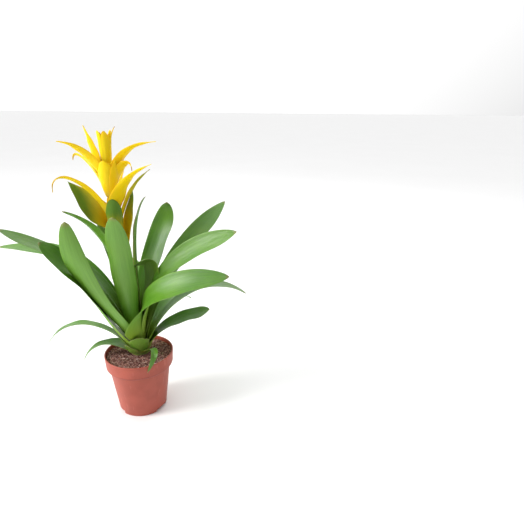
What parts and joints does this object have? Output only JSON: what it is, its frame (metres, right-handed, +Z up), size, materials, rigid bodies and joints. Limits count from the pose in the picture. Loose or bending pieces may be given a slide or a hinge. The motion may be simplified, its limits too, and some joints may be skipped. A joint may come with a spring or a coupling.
{
  "type": "potted bromeliad",
  "caption": "Flowering bromeliad in a plastic nursery pot: a funnel of strap leaves round a spike of yellow bracts.",
  "frame": {"origin": "centre of the flat foot of the pot, on the surface that the pot stands on", "axes": "+Z up the stem, +Y away from the viewer of the plant's front, +X to the viewer's right"},
  "size_m": [0.3276, 0.1695, 0.3742],
  "materials": {
    "pot": "thin moulded plastic, terracotta colour, satin",
    "soil": "loose fibrous peat",
    "stem": "smooth green stalk",
    "leaf": "smooth leaf with a soft gloss",
    "bract": "smooth waxy bract"
  },
  "bodies": {
    "root": {"pot": "pot", "soil": "soil", "stem": "stem", "flower_head": "bract", "bract_top_left": "bract", "bract_high_back": "bract", "bract_high_right": "bract", "bract_high_left": "bract", "bract_cup_inner": "bract", "bract_curl_right": "bract", "bract_curl_left": "bract", "bract_cup_front": "bract", "bract_cup_right": "bract", "bract_long_back": "bract", "bract_long_right": "bract", "bract_long_left": "bract", "bract_mid_back": "bract", "bract_mid_right": "bract", "bract_mid_left": "bract", "bract_low_back": "bract", "bract_low_front": "bract", "bract_low_right": "bract", "leaf_left_inner": "leaf", "leaf_back": "leaf", "leaf_inner_curled": "leaf", "leaf_back_left": "leaf", "leaf_right_upright": "leaf", "leaf_left_long": "leaf", "leaf_right_long": "leaf", "leaf_left_arching": "leaf", "leaf_right_upper": "leaf", "leaf_front": "leaf", "leaf_back_high": "leaf", "leaf_left_near": "leaf", "leaf_right_broad": "leaf", "leaf_left_folded": "leaf", "leaf_right_low": "leaf", "leaf_back_low_left": "leaf", "leaf_back_low": "leaf", "leaf_right_lowest": "leaf", "leaf_left_lowest": "leaf", "leaf_front_sheath": "leaf", "leaf_back_low_right": "leaf", "leaf_left_sheath": "leaf", "leaf_front_small": "leaf", "leaf_left_stub": "leaf"}
  },
  "joints": []
}
